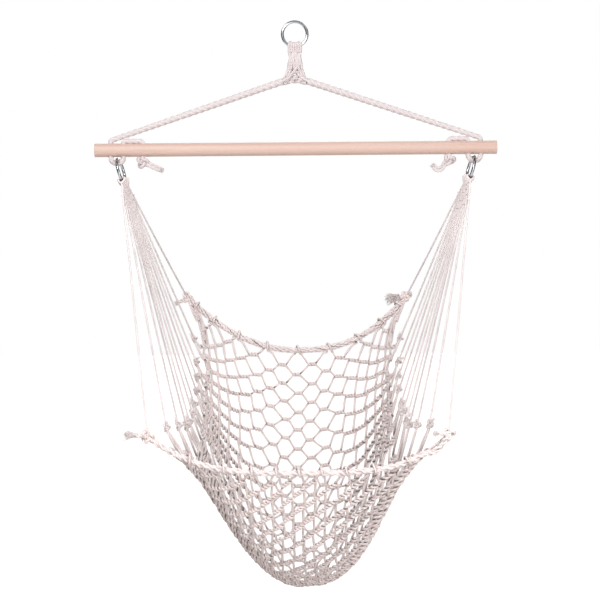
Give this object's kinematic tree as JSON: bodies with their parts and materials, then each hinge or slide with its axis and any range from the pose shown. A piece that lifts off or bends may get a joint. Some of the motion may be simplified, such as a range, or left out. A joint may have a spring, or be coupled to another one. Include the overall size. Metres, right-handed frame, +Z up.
{
  "type": "hammock chair",
  "caption": "Hanging chair: a netted cotton seat gathered to two steel rings on a wooden spreader bar, with two ropes that rise to a plaited neck and a hanging ring.",
  "frame": {"origin": "the hook's seat: the inner top of the hanging ring, on its middle plane", "axes": "+Z up, +X towards the right side ring as the picture shows the chair, and the sitter faces -Y"},
  "size_m": [0.9, 0.6924, 1.2601],
  "materials": {
    "steel": "polished",
    "beech": "sanded, unvarnished",
    "cotton": "soft laid cotton"
  },
  "bodies": {
    "hanging_ring": {"hanging_ring": "steel"},
    "neck": {"neck_eye": "cotton"},
    "plait": {"neck_plait": "cotton"},
    "yoke": {"bridle_rope_left": "cotton", "bridle_rope_right": "cotton", "spreader_bar": "beech"},
    "left_ring": {"side_ring_left": "steel"},
    "right_ring": {"side_ring_right": "steel"},
    "seat": {"clew_loops_left": "cotton", "clew_loops_right": "cotton", "clew_left_01": "cotton", "clew_left_02": "cotton", "clew_left_03": "cotton", "clew_left_04": "cotton", "clew_left_05": "cotton", "clew_left_06": "cotton", "clew_left_07": "cotton", "clew_left_08": "cotton", "clew_left_09": "cotton", "clew_left_10": "cotton", "clew_left_11": "cotton", "clew_left_12": "cotton", "clew_right_01": "cotton", "clew_right_02": "cotton", "clew_right_03": "cotton", "clew_right_04": "cotton", "clew_right_05": "cotton", "clew_right_06": "cotton", "clew_right_07": "cotton", "clew_right_08": "cotton", "clew_right_09": "cotton", "clew_right_10": "cotton", "clew_right_11": "cotton", "clew_right_12": "cotton", "seat_net": "cotton", "back_edge_rope": "cotton", "front_edge_rope": "cotton"}
  },
  "joints": [
    {"name": "ring_swing", "type": "hinge", "parent": "hanging_ring", "child": "neck", "pos_m": [0, 0, -0.05125], "axis": [1, 0, 0], "range_deg": [-25, 25]},
    {"name": "neck_sway", "type": "hinge", "parent": "neck", "child": "plait", "pos_m": [0, 0, -0.06405], "axis": [0, 1, 0], "range_deg": [-12, 12], "deforming": ["neck_plait"]},
    {"name": "neck_swivel", "type": "hinge", "parent": "plait", "child": "yoke", "pos_m": [0, 0, -0.126], "axis": [0, 0, 1], "range_deg": [-60, 60], "stiffness_Nm_per_rad": 0.05, "deforming": ["neck_plait"]},
    {"name": "left_ring_swing", "type": "hinge", "parent": "yoke", "child": "left_ring", "pos_m": [-0.39638, 0, -0.31112], "axis": [1, 0, 0], "range_deg": [-25, 25]},
    {"name": "right_ring_swing", "type": "hinge", "parent": "yoke", "child": "right_ring", "pos_m": [0.39638, 0, -0.31112], "axis": [1, 0, 0], "range_deg": [-25, 25]},
    {"name": "seat_tilt", "type": "hinge", "parent": "left_ring", "child": "seat", "pos_m": [-0.39169, 0, -0.32861], "axis": [1, 0, 0], "range_deg": [-12, 12]}
  ],
  "couplings": [
    {"joint": "right_ring_swing", "follows": "left_ring_swing", "ratio": 1}
  ]
}
